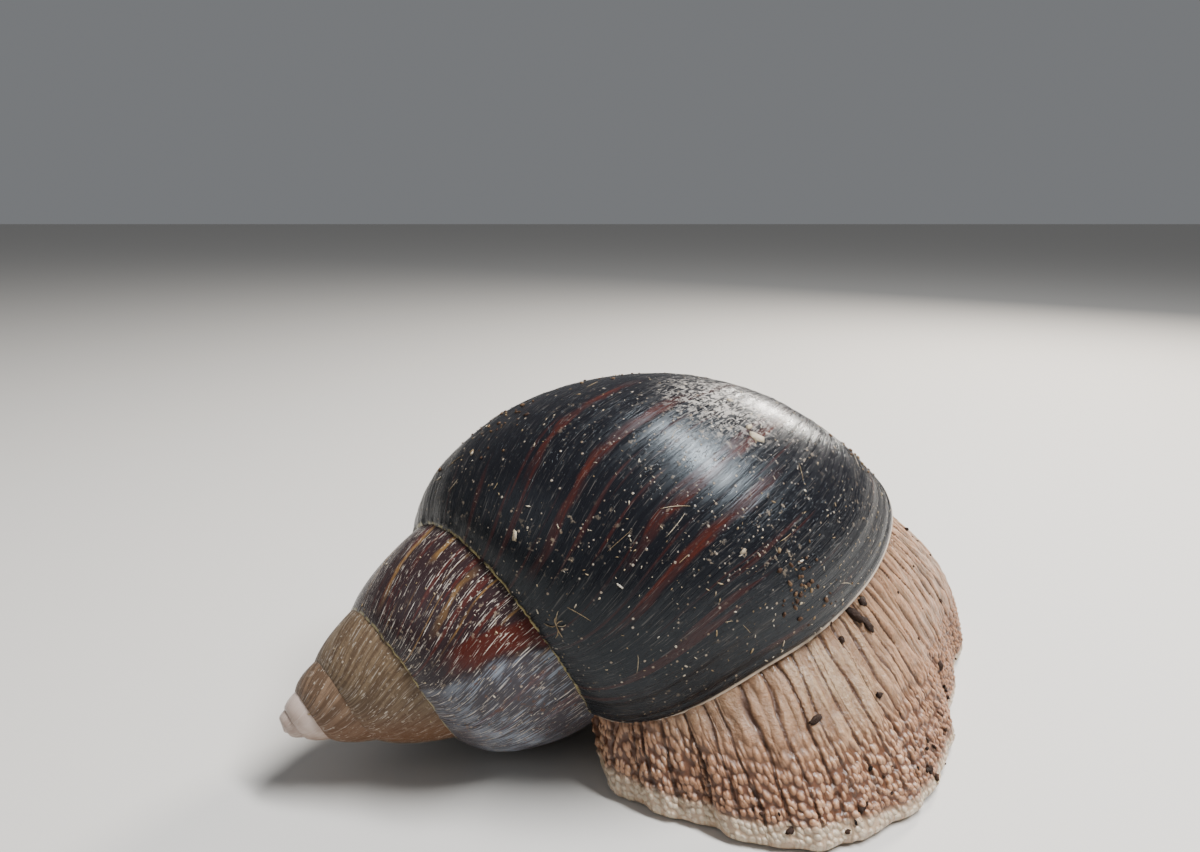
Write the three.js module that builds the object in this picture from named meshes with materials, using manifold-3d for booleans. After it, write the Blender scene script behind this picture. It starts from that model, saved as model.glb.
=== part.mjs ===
// Giant african land snail, life size, in millimetres, +Z up, standing on z = 0.
// The shell lies over to one side with its tip low; the foot spreads out from under the lip.
import * as THREE from "three";
import Module from "manifold-3d";

const wasm = await Module();
wasm.setup();
const { Manifold, Mesh } = wasm;

// Shell: where the tip sits and which way the axis runs from the tip to the base.
const TIP = new THREE.Vector3(-80.2, -49.9, 9.3);
const AXIS_YAW = 0.478;
const AXIS_RISE = 0.3075;
// Angle of the lip about the axis, and growth per turn: radius, then height, each with its curvature.
const LIP_ANGLE = 1.8387;
const WIDEN = [0.48822, 0.00155];
const LENGTHEN = [0.54488, 0.04236];
// Outline of one whorl in the plane of the axis, at the lip.
const WHORL = { radius: 16.07, swell: 22.33, height: 88.91, half: 37.53, lean: 0.13307 };
const SHOULDER_POWER = 1.065;
const BASE_POWER = 0.925;
const SUTURE_PSI = 100;
const BASE_PSI = -88;
const NUB = { height: 12.2, radius: 2.5 };
const PILLAR = { from: 54, to: 121, inner: 0.5, outer: 1.3 };
const LIP_WALL = 1.3;
const LIP_DEPTH = 0.022;
const LIP_OVERHANG = 0.05;
const LIP_SETBACK = 0.015;
const GAP = 0.3;

// Flesh: the sole's outline on the floor, from the corner by the suture round the near side.
const SOLE = [
  [-20, -43], [-13.5, -50], [-3.5, -56], [9, -61], [20, -58.5], [35, -48], [45, -30],
  [54, -9], [62, 11], [63, 24], [57, 37], [49, 48], [41, 57], [33, 59.5], [25, 56],
  [19, 45], [12, 31], [3, 17], [-6, 1], [-12, -17], [-17, -31],
];
const LIP_SIDE = 9; // how many of the outline's spans lie under the outer lip
const MARGIN_RISE = 1.7;
const SOLE_INSET = 2.6;
const COLLAR_WIDTH = 2.4;
const BULGE = 0.07;
const FAR_BULGE = 0.1;
const RIBS = 44;
const FLANK_STEPS = 5;
const FOOT_MIDDLE = new THREE.Vector3(12, -6, 0);
const FOOT_TOP = new THREE.Vector3(12, -6, 36);

// Neck and head: centre line with half width and half height.
const NECK = [
  { at: [22, 6, 17], wide: 17, tall: 13.5 },
  { at: [27, 23, 15], wide: 15, tall: 12 },
  { at: [29.5, 38, 13.6], wide: 12.8, tall: 11 },
  { at: [30.5, 49, 12.8], wide: 11.8, tall: 10.6 },
  { at: [31, 56, 11.8], wide: 10, tall: 9.2 },
  { at: [31, 60, 10.8], wide: 7, tall: 6.6 },
  { at: [31, 62, 10.2], wide: 3.4, tall: 3.2 },
];
const UPPER_TENTACLE = { length: 17, base: 2.6, neck: 1.35, bulb: 1.9 };
const LOWER_TENTACLE = { length: 6.5, base: 1.7, neck: 1.0, bulb: 1.2 };
const EYE = 1.15;
const PALP = [2.6, 3.4, 2.4];
const HEAD_X = 31;

// Planes that part the flesh into tail, foot, neck and head: normal, then distance.
const TAIL_CUT = [[-0.25, 0.968, 0], -27];
const NECK_CUT = [[0.12, 0.993, 0], 25];
const HEAD_CUT = [[0.12, 0.993, 0], 43];

const axis = new THREE.Vector3(
  Math.cos(AXIS_YAW) * Math.cos(AXIS_RISE),
  Math.sin(AXIS_YAW) * Math.cos(AXIS_RISE),
  Math.sin(AXIS_RISE),
);
const above = new THREE.Vector3(
  -Math.cos(AXIS_YAW) * Math.sin(AXIS_RISE),
  -Math.sin(AXIS_YAW) * Math.sin(AXIS_RISE),
  Math.cos(AXIS_RISE),
);
const beside = new THREE.Vector3().crossVectors(axis, above);

const grow = (rate, turn) => Math.exp(rate[0] * turn + rate[1] * turn * turn);
const power = (x, to) => Math.sign(x) * Math.abs(x) ** to;

// Radius and height on the whorl's wall, moved outwards by `out` millimetres.
function wall(turn, psi, out = 0) {
  const wide = grow(WIDEN, turn);
  const long = grow(LENGTHEN, turn);
  const turned = (psi * Math.PI) / 180;
  const full = psi < 0 ? [BASE_POWER, 1] : [SHOULDER_POWER, SHOULDER_POWER];
  const across = (WHORL.swell + out / wide) * power(Math.cos(turned), full[0]);
  const along = -(WHORL.half + out / long) * power(Math.sin(turned), full[1]);
  const c = Math.cos(WHORL.lean);
  const s = Math.sin(WHORL.lean);
  return [
    wide * (WHORL.radius + across * c - along * s),
    long * (WHORL.height + across * s + along * c),
  ];
}

function onSpiral(turn, radius, height) {
  const angle = LIP_ANGLE + 2 * Math.PI * turn;
  return TIP.clone()
    .addScaledVector(axis, height)
    .addScaledVector(above, radius * Math.cos(angle))
    .addScaledVector(beside, radius * Math.sin(angle));
}

// The lip reaches further round the axis beside the suture than at the base.
const lipTurn = (psi) =>
  LIP_OVERHANG * THREE.MathUtils.smoothstep(psi, 15, 85)
  - LIP_SETBACK * THREE.MathUtils.smoothstep(-psi, 20, 80);

// A solid through rings of equal length; `cap` gives the triangles that close an end ring.
function loft(rings, cap) {
  const size = rings[0].length;
  const spots = rings.flat().flatMap((p) => [p.x, p.y, p.z]);
  const faces = [];
  for (let i = 0; i + 1 < rings.length; i++)
    for (let j = 0; j < size; j++) {
      const a = i * size + j;
      const b = i * size + ((j + 1) % size);
      faces.push(a, b, b + size, a, b + size, a + size);
    }
  const last = (rings.length - 1) * size;
  for (const [a, b, c] of cap(rings[0], 0)) faces.push(a, c, b);
  for (const [a, b, c] of cap(rings.at(-1), 1)) faces.push(last + a, last + b, last + c);
  const make = (f) => new Manifold(new Mesh({
    numProp: 3,
    vertProperties: new Float32Array(spots),
    triVerts: new Uint32Array(f),
  }));
  const solid = make(faces);
  if (solid.volume() > 0) return solid;
  for (let i = 0; i < faces.length; i += 3)
    [faces[i + 1], faces[i + 2]] = [faces[i + 2], faces[i + 1]];
  return make(faces);
}

const filled = (outline) => THREE.ShapeUtils.triangulateShape(outline, []);
const planar = (u, v) => (ring) =>
  filled(ring.map((p) => new THREE.Vector2(p.dot(u), p.dot(v))));

// The end face of a piece swept about the axis, seen square on.
const endFace = (from, to) => (ring, end) => {
  const angle = LIP_ANGLE + 2 * Math.PI * (end ? to : from);
  const out = above.clone().multiplyScalar(Math.cos(angle))
    .addScaledVector(beside, Math.sin(angle));
  return planar(out, axis)(ring);
};

// A filled stretch of whorl, up to half a turn or so, closed near the axis.
function stretch(from, to, steps, rows, out) {
  const rings = [];
  for (let i = 0; i <= steps; i++) {
    const turn = from + ((to - from) * i) / steps;
    const long = grow(LENGTHEN, turn);
    const ring = [];
    for (let j = 0; j <= rows; j++) {
      const psi = SUTURE_PSI + ((BASE_PSI - SUTURE_PSI) * j) / rows;
      ring.push(onSpiral(turn, ...wall(turn, psi, out)));
    }
    const thin = PILLAR.inner * grow(WIDEN, turn);
    ring.push(onSpiral(turn, thin, PILLAR.to * long + out));
    ring.push(onSpiral(turn, thin, PILLAR.from * long - out));
    rings.push(ring);
  }
  return loft(rings, endFace(from, to));
}

// Whole turns are joined from halves, and a pillar fills the axis.
function whorl(from, to, steps, rows, out = 0) {
  const pieces = Math.ceil(2 * (to - from) - 0.1);
  const solids = Array.from({ length: pieces }, (_, k) => stretch(
    from + ((to - from) * k) / pieces,
    from + ((to - from) * (k + 1)) / pieces,
    Math.round(steps / pieces), rows, out,
  ));
  const top = (PILLAR.from + 1) * grow(LENGTHEN, from) - out;
  const bottom = (PILLAR.to - 6) * grow(LENGTHEN, to) + out;
  const radius = (turn) => PILLAR.outer * grow(WIDEN, turn) + out;
  const pillar = Manifold.cylinder(bottom - top, radius(from), radius(to), 8);
  const turned = new THREE.Matrix4().makeBasis(beside, above.clone().negate(), axis);
  turned.setPosition(TIP.clone().addScaledVector(axis, top));
  return Manifold.union([...solids, pillar.transform(turned.elements)]);
}

// A thin curved wall just inside the whorl's surface, `out` to `inner` deep, ending on the lip line.
function rim(from, out, inner, reach, rows = 15, steps = 3) {
  const rings = [];
  const psis = Array.from({ length: rows + 1 }, (_, j) => 84 + (-86 - 84) * (j / rows));
  for (let i = 0; i <= steps; i++) {
    const at = (psi) => from + (lipTurn(psi) + reach - from) * (i / steps);
    rings.push([
      ...psis.map((psi) => onSpiral(at(psi), ...wall(at(psi), psi, -out))),
      ...psis.map((psi) => onSpiral(at(psi), ...wall(at(psi), psi, -inner))).reverse(),
    ]);
  }
  const strip = Array.from({ length: rows }, (_, k) => {
    const across = 2 * rows + 1 - k;
    return [[k, k + 1, across], [k + 1, across - 1, across]];
  }).flat();
  return loft(rings, () => strip);
}

// One body, without the slivers that cutting leaves beside an edge.
const largest = (solid) =>
  solid.simplify(0.02).decompose().sort((a, b) => b.volume() - a.volume())[0];

const onFloor = (solid) => solid.trimByPlane([0, 0, 1], 0);

function shellPieces() {
  const plan = [
    ["shell_body_whorl", -1, -LIP_DEPTH, 36, 13],
    ["shell_penultimate_whorl", -2, -1, 26, 10],
    ["shell_third_whorl", -3, -2, 20, 7],
    ["shell_fourth_whorl", -4, -3, 14, 5],
    ["shell_apex", -6, -4, 18, 4],
  ];
  const made = [];
  plan.forEach(([name, from, to, steps, rows], i) => {
    let solid = whorl(from, to, steps, rows);
    if (name === "shell_apex")
      solid = solid.add(ball(NUB.radius, TIP.clone().addScaledVector(axis, NUB.height).toArray()));
    for (let k = 0; k < i; k++) {
      const [, f, t, s, r] = plan[k];
      solid = solid.subtract(whorl(f - 0.003 - 0.002 * k, t, s, r, 1.6 * GAP));
    }
    made.push([name, onFloor(solid)]);
  });
  return made;
}

// The opening's own outline just inside the lip, then back along the axis.
function openingPoint(s, turn) {
  if (s <= 0.5) {
    const psi = 92 + (-86 - 92) * (s / 0.5);
    const at = turn + 0.6 * lipTurn(psi);
    return onSpiral(at, ...wall(at, psi, -LIP_WALL - 2 * GAP - COLLAR_WIDTH - 0.5));
  }
  const w = (s - 0.5) / 0.5;
  return onSpiral(turn, 9 - 4 * Math.sin(Math.PI * w), 120 - 62 * w);
}

const soleCurve = new THREE.CatmullRomCurve3(
  SOLE.map(([x, y]) => new THREE.Vector3(x, y, 0)), true, "centripetal",
);
function solePoint(s, inset = 0, z = 0) {
  const share = LIP_SIDE / SOLE.length;
  const t = s <= 0.5 ? 2 * s * share : share + (2 * s - 1) * (1 - share);
  const p = soleCurve.getPoint(t % 1);
  const along = soleCurve.getTangent(t % 1);
  return new THREE.Vector3(p.x - along.y * inset, p.y + along.x * inset, z);
}

// One rib of the foot: out of the opening, down over the flank, to the thin edge on the floor.
function rib(s) {
  const from = solePoint(s, 0, MARGIN_RISE);
  const to = openingPoint(s, -0.004);
  const flank = Array.from({ length: FLANK_STEPS + 1 }, (_, k) => {
    const w = k / FLANK_STEPS;
    const bulge = BULGE + FAR_BULGE * THREE.MathUtils.smoothstep(s, 0.3, 0.42) * (s < 0.6);
    const share = w - bulge * Math.sin(Math.PI * w);
    return new THREE.Vector3(
      from.x + (to.x - from.x) * share,
      from.y + (to.y - from.y) * share,
      from.z + (to.z - from.z) * w,
    );
  });
  return [solePoint(s, SOLE_INSET, 0), ...flank];
}

// The foot is the sum of the wedges between neighbouring ribs and its middle.
function foot() {
  const ribs = Array.from({ length: RIBS }, (_, j) => rib(j / RIBS));
  const wedges = ribs.map((here, j) => {
    const next = ribs[(j + 1) % RIBS];
    return Manifold.hull([...here, ...next, FOOT_MIDDLE, FOOT_TOP].map((p) => p.toArray()));
  });
  return Manifold.union(wedges);
}

// A tube with an elliptical section, closed by rounded ends.
function tube(stops, sides, level = false) {
  const rings = stops.map((stop, i) => {
    const here = new THREE.Vector3(...stop.at);
    const a = new THREE.Vector3(...stops[Math.max(i - 1, 0)].at);
    const b = new THREE.Vector3(...stops[Math.min(i + 1, stops.length - 1)].at);
    const along = b.sub(a).normalize();
    if (level) along.setZ(0).normalize();
    const lead = Math.abs(along.z) > 0.9 ? new THREE.Vector3(0, 1, 0) : new THREE.Vector3(0, 0, 1);
    const side = new THREE.Vector3().crossVectors(along, lead).normalize();
    const up = new THREE.Vector3().crossVectors(side, along);
    return Array.from({ length: sides }, (_, j) => {
      const angle = (2 * Math.PI * j) / sides;
      return here.clone()
        .addScaledVector(side, stop.wide * Math.cos(angle))
        .addScaledVector(up, stop.tall * Math.sin(angle));
    });
  });
  return loft(rings, (ring) => ring.slice(2).map((_, j) => [0, j + 1, j + 2]));
}

function tentacle(base, lean, size, sides = 10) {
  const dir = new THREE.Vector3(...lean).normalize();
  const shape = [
    [-0.18, size.base * 1.15], [0, size.base], [0.3, size.neck * 1.35], [0.6, size.neck],
    [0.82, size.neck * 1.05], [0.92, size.bulb], [1, size.bulb * 0.95], [1.06, size.bulb * 0.55],
  ];
  const stops = shape.map(([share, radius]) => ({
    at: new THREE.Vector3(...base).addScaledVector(dir, share * size.length).toArray(),
    wide: radius,
    tall: radius,
  }));
  return tube(stops, sides);
}

const ball = (radius, at, sides = 12) =>
  Manifold.sphere(radius, sides).translate(at);

const parts = shellPieces();

const nearWhorls = whorl(-1.003, -LIP_DEPTH + 0.0008, 36, 13, 1.3 * GAP)
  .add(whorl(-2, -1, 26, 10, GAP));
const lip = rim(-LIP_DEPTH + 0.002, 0, LIP_WALL, 0).subtract(nearWhorls);
const collar = rim(
  -LIP_DEPTH + 0.003, LIP_WALL + GAP, LIP_WALL + GAP + COLLAR_WIDTH, 0.004,
).subtract(nearWhorls);
parts.push(["shell_lip", lip]);
parts.push(["mantle_collar", collar]);

// Everything of the shell and collar, a hair larger, so the flesh stops short of it.
const clear = rim(-LIP_DEPTH - 0.003, -GAP, LIP_WALL + GAP, 0.004)
  .add(rim(-LIP_DEPTH + 0.002, LIP_WALL, LIP_WALL + 2 * GAP + COLLAR_WIDTH, 0.008))
  .add(nearWhorls);

const flesh = onFloor(foot().add(tube(NECK, 28, true)).subtract(clear));
const beyond = (solid, [normal, at]) => solid.trimByPlane(normal, at + GAP / 2);
const before = (solid, [normal, at]) =>
  solid.trimByPlane(normal.map((v) => -v), -at + GAP / 2);
parts.push(["tail", largest(before(flesh, TAIL_CUT))]);
parts.push(["foot", largest(before(beyond(flesh, TAIL_CUT), NECK_CUT))]);
parts.push(["neck", largest(before(beyond(flesh, NECK_CUT), HEAD_CUT))]);

const head = beyond(flesh, HEAD_CUT);
const roundHead = tube(
  NECK.map(({ at, wide, tall }) => ({ at, wide: wide + GAP, tall: tall + GAP })), 28, true,
);
const feelers = [];
for (const [side, name] of [[-1, "left"], [1, "right"]]) {
  const upperBase = [HEAD_X + 5 * side, 51, 21];
  const upperLean = [0.34 * side - 0.1, 0.56, 0.66];
  const upper = tentacle(upperBase, upperLean, UPPER_TENTACLE);
  const tip = new THREE.Vector3(...upperBase).addScaledVector(
    new THREE.Vector3(...upperLean).normalize(),
    UPPER_TENTACLE.length * 1.02,
  ).toArray();
  const lower = tentacle([HEAD_X + 5.2 * side, 58.6, 8.6], [0.4 * side, 0.9, 0.05], LOWER_TENTACLE);
  const palp = ball(1, [0, 0, 0]).scale(PALP).translate([HEAD_X + 3.6 * side, 60.6, 4.6]);
  feelers.push(["tentacle_upper_" + name, upper.subtract(ball(EYE + GAP, tip))]);
  feelers.push(["eye_" + name, ball(EYE, tip)]);
  feelers.push(["tentacle_lower_" + name, lower]);
  feelers.push(["mouth_palp_" + name, palp]);
}
// Each feeler stands on the head with a hair of space between.
for (const [name, solid] of feelers) {
  const clearOfHead = name.startsWith("eye") ? solid : solid.subtract(roundHead);
  parts.push([name, clearOfHead.trimByPlane([0, 0, 1], MARGIN_RISE + 0.5)]);
}
parts.push(["head", head]);

const LOOKS = {
  shell: { color: 0x2a1c18, roughness: 0.35 },
  shell_third: { color: 0x8a6f52, roughness: 0.5 },
  shell_early: { color: 0xa08a6c, roughness: 0.5 },
  shell_apex: { color: 0xd9c2b4, roughness: 0.4 },
  eye: { color: 0x17120f, roughness: 0.2 },
  mantle: { color: 0xbfae9a, roughness: 0.4 },
  flesh: { color: 0xa27a63, roughness: 0.45 },
};
const lookOf = (name) => LOOKS[
  Object.keys(LOOKS).filter((key) => name.startsWith(key))
    .sort((a, b) => b.length - a.length)[0] ?? "flesh"
];

function meshOf(name, solid) {
  const m = solid.getMesh();
  const geometry = new THREE.BufferGeometry();
  geometry.setAttribute("position", new THREE.BufferAttribute(m.vertProperties, 3));
  geometry.setIndex(new THREE.BufferAttribute(m.triVerts, 1));
  geometry.computeVertexNormals();
  const material = new THREE.MeshStandardMaterial({ metalness: 0, ...lookOf(name) });
  const mesh = new THREE.Mesh(geometry, material);
  mesh.name = name;
  return mesh;
}

// The origin goes on the floor under the middle of the footprint.
const solids = parts.map(([name, solid]) => [name, largest(solid)]);
const boxes = solids.map(([, solid]) => solid.boundingBox());
const middle = [0, 1].map((k) =>
  (Math.min(...boxes.map((b) => b.min[k])) + Math.max(...boxes.map((b) => b.max[k]))) / 2,
);

const snail = new THREE.Group();
for (const [name, solid] of solids)
  snail.add(meshOf(name, solid.translate([-middle[0], -middle[1], 0])));
export default snail;
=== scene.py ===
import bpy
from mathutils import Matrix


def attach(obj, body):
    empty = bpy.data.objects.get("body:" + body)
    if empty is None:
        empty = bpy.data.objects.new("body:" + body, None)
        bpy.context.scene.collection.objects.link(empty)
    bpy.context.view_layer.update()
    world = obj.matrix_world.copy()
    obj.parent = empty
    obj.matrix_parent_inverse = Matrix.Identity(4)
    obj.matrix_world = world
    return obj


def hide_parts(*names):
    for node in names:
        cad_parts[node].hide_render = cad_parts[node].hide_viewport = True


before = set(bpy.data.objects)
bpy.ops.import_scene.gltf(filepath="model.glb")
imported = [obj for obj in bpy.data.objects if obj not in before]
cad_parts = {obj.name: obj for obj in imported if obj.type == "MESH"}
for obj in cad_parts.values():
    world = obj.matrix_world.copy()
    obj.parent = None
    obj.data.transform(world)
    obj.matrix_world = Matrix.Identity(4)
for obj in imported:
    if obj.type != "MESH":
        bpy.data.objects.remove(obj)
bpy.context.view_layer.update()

# ---- floor, light and camera
# A pale studio floor and three soft lights: a narrow one high on the right, one behind on the
# right that throws the shadow forwards, and a weak one on the left. The camera is close to the
# ground.
import bmesh
import bpy
import numpy as np
from functools import partial, reduce
from math import cos, pi, radians, sin, tau
from mathutils import Matrix, Vector, noise
from mathutils.bvhtree import BVHTree

scene = bpy.context.scene
MM = 0.001
FLOOR_HALF = 3.0
CAMERA_PLACE = (-15.17, -179.11, 97)
CAMERA_TILT = 14.39


def add_object(name, data):
    made = bpy.data.objects.new(name, data)
    scene.collection.objects.link(made)
    return made


def mesh_of(shape, name):
    """The mesh of a finished bmesh, which is freed."""
    mesh = bpy.data.meshes.new(name)
    shape.to_mesh(mesh)
    shape.free()
    return mesh


def grid_mesh(name, columns, rows, size=0.5):
    shape = bmesh.new()
    bmesh.ops.create_grid(shape, x_segments=columns, y_segments=rows, size=size)
    return mesh_of(shape, name)


def stage_light(name, place, aim, size, power, color, roll=0):
    lamp = bpy.data.lights.new(name, "AREA")
    lamp.shape = "RECTANGLE"
    lamp.size, lamp.size_y = (side * MM for side in size)
    lamp.energy = power
    lamp.color = color
    holder = add_object(name, lamp)
    holder.location = Vector(place) * MM
    turn = (Vector(aim) - Vector(place)).to_track_quat("-Z", "Y").to_matrix()
    holder.rotation_euler = (turn @ Matrix.Rotation(radians(roll), 3, "Z")).to_euler()


stage_light("key_light", (235, -85, 550), (0, -40, 50), (90, 400), 9.2, (0.96, 0.98, 1.0), -37)
stage_light("back_light", (340, 430, 360), (0, -20, 20), (110, 110), 5.0, (1.0, 0.93, 0.84))
stage_light("side_light", (-520, -300, 380), (0, 0, 20), (500, 400), 0.6, (0.95, 0.97, 1.0))

world = bpy.data.worlds.new("studio")
world.use_nodes = True
scene.world = world
sky = world.node_tree.nodes["Background"].inputs
sky["Color"].default_value = (0.85, 0.88, 0.92, 1)
sky["Strength"].default_value = 0.22

floor_mesh = grid_mesh("floor", 1, 1, FLOOR_HALF)
floor = add_object("floor", floor_mesh)
paper = bpy.data.materials.new("pale floor")
paper.use_nodes = True
finish = paper.node_tree.nodes["Principled BSDF"].inputs
finish["Base Color"].default_value = (0.6, 0.575, 0.54, 1)
finish["Roughness"].default_value = 0.8
floor_mesh.materials.append(paper)

lens = bpy.data.cameras.new("camera")
lens.lens = 27
lens.sensor_width = 36
lens.clip_start = 0.005
lens.clip_end = 20
camera = add_object("camera", lens)
camera.location = Vector(CAMERA_PLACE) * MM
camera.rotation_euler = (radians(90 - CAMERA_TILT), 0, 0)
scene.camera = camera

# ---- shell
# The shell is one tube of lime, about a millimetre thick, that the mantle lays down turn by turn
# round a leaning axis. Each turn is wider and longer than the last, and the surface keeps the
# line of every past lip as a growth line. The edge of the opening is bare and pale.

# A place on the wall is a turn, 0 at the lip and less before it, and psi, the angle across the
# whorl in degrees. Sizes are in millimetres at the lip, and each rate of growth is the pair of
# factors of the turn and of its square in the exponent.
TIP = np.array([-75.367, -52.007, 9.3])
AXIS_YAW = 0.478
AXIS_RISE = 0.3075
LIP_ANGLE = 1.8387
WIDEN = (0.48822, 0.00155)
LENGTHEN = (0.54488, 0.04236)
WHORL_RADIUS = 16.07
WHORL_SWELL = 22.33
WHORL_HEIGHT = 88.91
WHORL_HALF = 37.53
WHORL_LEAN = 0.13307
SUTURE_PSI = 100
BASE_PSI = -88
BASE_POWER, CROWN_POWER = 0.925, 1.065
PILLAR_FROM, PILLAR_TO = 54, 121
PILLAR_TUCK = 20
CORNER_TUCK = 0.28
TUBE_MIDDLE = ((20, WIDEN), (86, LENGTHEN))
LIP_WALL = 1.2
LIP_BACK = -0.022
GIRTH = 238
GIRTH_RATE = 0.5
FLATTER = 0.55
FIRST_TURN, ROUNDED_TURNS = -6, 0.3
INNER_ROWS = 6
ROLL_RINGS = 7
FLOOR_GAP = 0.02
# Growth lines: how far apart they lie, and how high they stand.
FINE_LINES, REST_LINES, EDGE_CRIMP = (0.9, 0.045), (6.5, 0.12), (1.1, 0.10)
EDGE_ROLL = 0.16

axis = np.array([cos(AXIS_YAW) * cos(AXIS_RISE), sin(AXIS_YAW) * cos(AXIS_RISE), sin(AXIS_RISE)])
above = np.array([-cos(AXIS_YAW) * sin(AXIS_RISE), -sin(AXIS_YAW) * sin(AXIS_RISE), cos(AXIS_RISE)])
beside = np.cross(axis, above)


def grow(rate, turn):
    return np.exp(rate[0] * turn + rate[1] * turn * turn)


def smoothstep(x, low, high):
    share = np.clip((x - low) / (high - low), 0, 1)
    return share * share * (3 - 2 * share)


def lip_turn(psi):
    """How far round the axis the lip reaches, most beside the suture."""
    return (
        0.05 * smoothstep(psi, 15, 85) - 0.015 * smoothstep(-psi, 20, 80)
        - 0.09 * smoothstep(-psi, 50, 88)
    )


def tucked(turn):
    """How much of the lip corner's rounding a turn gets: none a quarter turn back, all at 0."""
    return smoothstep(turn, -0.25, -0.02)


def wall(turn, psi, out=0.0):
    """Radius and height of the wall, moved outwards by `out` millimetres."""
    wide, long = grow(WIDEN, turn), grow(LENGTHEN, turn)
    c, s = np.cos(np.radians(psi)), np.sin(np.radians(psi))
    across = (WHORL_SWELL + out / wide) * np.sign(c)
    across = across * np.abs(c) ** np.where(psi < 0, BASE_POWER, CROWN_POWER)
    along = -(WHORL_HALF + out / long) * np.sign(s)
    along = along * np.abs(s) ** np.where(psi < 0, 1.0, CROWN_POWER)
    along = along * (1 - CORNER_TUCK * tucked(turn) * smoothstep(-psi, 58, 90))
    return (
        wide * (WHORL_RADIUS + across * cos(WHORL_LEAN) - along * sin(WHORL_LEAN)),
        long * (WHORL_HEIGHT + across * sin(WHORL_LEAN) + along * cos(WHORL_LEAN)),
    )


def on_spiral(turn, radius, height):
    angle = LIP_ANGLE + tau * turn
    return (
        TIP
        + np.multiply.outer(height, axis)
        + np.multiply.outer(radius * np.cos(angle), above)
        + np.multiply.outer(radius * np.sin(angle), beside)
    )


# Growth in millimetres of wall laid down, counted back from the lip, for each turn.
turn_table = np.linspace(-7, 0.1, 1500)
girth_table = GIRTH * np.exp(GIRTH_RATE * turn_table)
laid_table = np.concatenate([
    [0], np.cumsum((girth_table[1:] + girth_table[:-1]) / 2 * np.diff(turn_table))])
laid_table -= np.interp(0, turn_table, laid_table)

# Distance over the wall from one psi to the next, on the last whorl.
psi_table = np.linspace(BASE_PSI, SUTURE_PSI, 400)
profile = np.stack(wall(np.zeros(400), psi_table), 1)
profile_table = np.concatenate([[0], np.cumsum(np.linalg.norm(np.diff(profile, axis=0), axis=1))])

rng = np.random.default_rng(11)
fine_rib = rng.normal(size=1200)
rest_rib = rng.normal(size=400)
edge_rib = rng.normal(size=1600)


def suture_psi(turn):
    """Where each whorl's wall comes out from under the next older one."""
    return np.interp(turn, (-6, -5, -4, -3, -2, -1, 0), (100, 98.7, 92.5, 87.2, 83.9, 82.1, 81.8))


def draw_in(turn, radius, height):
    """Draws the bulge of the older whorls in towards the line between their sutures."""
    high = wall(turn, suture_psi(turn))
    low = wall(turn + 1, suture_psi(turn + 1))
    across, along = low[0] - high[0], low[1] - high[1]
    length = np.hypot(across, along)
    bulge = ((radius - high[0]) * along - (height - high[1]) * across) / length
    share = FLATTER * smoothstep(-turn, 1.0, 1.4) * (1 - 0.6 * smoothstep(-turn, 2.6, 3.4))
    pull = share * np.maximum(bulge, 0) / length
    return radius - pull * along, height + pull * across


def growth_place(turn, psi):
    """Millimetres laid down since this point's growth line, and from the suture across it."""
    skew = 0.028 * np.sin(np.radians(psi)) * smoothstep(-turn, 0.0, 0.12)
    line = turn - lip_turn(psi) - skew
    laid = np.interp(line, turn_table, laid_table)
    down = np.interp(suture_psi(turn), psi_table, profile_table)
    down = down - np.interp(psi, psi_table, profile_table)
    return laid, down * np.exp(GIRTH_RATE * turn)


def lines(heights, laid, apart, before):
    """Heights met one after the other, `apart` millimetres of growth from each other."""
    return np.interp(laid / apart, np.arange(len(heights)) - before, heights)


def growth_relief(laid, down, turn):
    """Height of the growth lines and the suture's rolled edge above the wall, in millimetres."""
    size = np.exp(0.42 * turn) * (0.06 + 0.94 * smoothstep(turn, -4.1, -3.4))
    fine = lines(fine_rib, laid, FINE_LINES[0], 900)
    rest = lines(rest_rib, laid, REST_LINES[0], 300)
    crimp = lines(edge_rib, laid, EDGE_CRIMP[0], 900)
    roll = np.exp(-((down / size - 0.7) / 0.9) ** 2)
    relief = FINE_LINES[1] * fine + REST_LINES[1] * rest
    return size * relief + size * roll * (EDGE_ROLL + EDGE_CRIMP[1] * crimp)


def numbers(items, field, width=3, kind=float):
    """A mesh field as rows of numbers."""
    out = np.empty(len(items) * width, kind)
    items.foreach_get(field, out)
    return out.reshape(-1, width)


def mark(mesh, name, values):
    """Keeps three numbers with each point of a mesh."""
    layer = mesh.attributes.new(name, "FLOAT_VECTOR", "POINT")
    layer.data.foreach_set("vector", values.ravel())


def close_up(shape):
    """Fills the open edges and turns the faces outwards."""
    bmesh.ops.holes_fill(shape, edges=[e for e in shape.edges if e.is_boundary])
    bmesh.ops.recalc_face_normals(shape, faces=shape.faces)


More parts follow.
